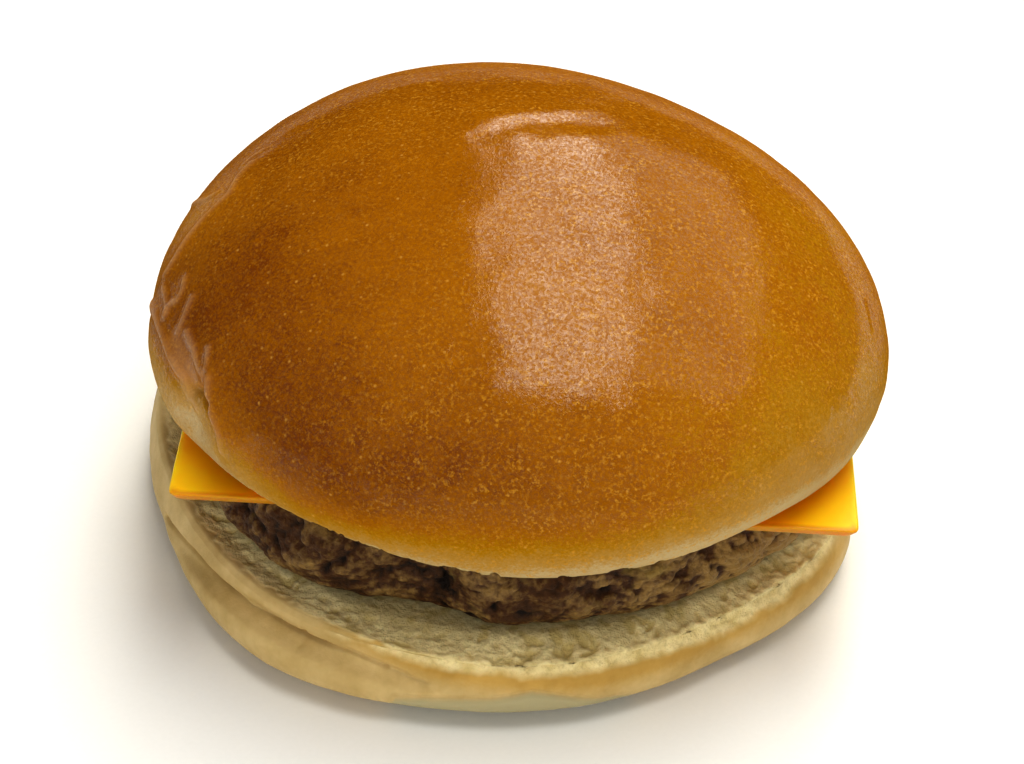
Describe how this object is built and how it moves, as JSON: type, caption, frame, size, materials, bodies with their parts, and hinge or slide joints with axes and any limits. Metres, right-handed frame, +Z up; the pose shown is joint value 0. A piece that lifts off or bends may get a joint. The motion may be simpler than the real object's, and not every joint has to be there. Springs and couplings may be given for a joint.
{
  "type": "cheeseburger",
  "caption": "Round cheeseburger: a soft bun cut in two with a glossy browned top, a square slice of yellow cheese and a beef patty.",
  "frame": {"origin": "on the bun's axis, at the face that the burger rests on", "axes": "+Z up; -Y is the front, where the patty shows most; +X is to the right seen from the front"},
  "size_m": [0.1017, 0.1031, 0.0593],
  "materials": {
    "bun_bottom": "soft matte pale crust with an open crumb",
    "beef_patty": "moist rough coarse-ground meat",
    "cheese_slice": "smooth satin processed cheese",
    "bun_top": "glazed golden brown crust"
  },
  "bodies": {
    "root": {"bun_bottom": "bun_bottom", "beef_patty": "beef_patty", "cheese_slice": "cheese_slice", "bun_top": "bun_top"}
  },
  "joints": []
}
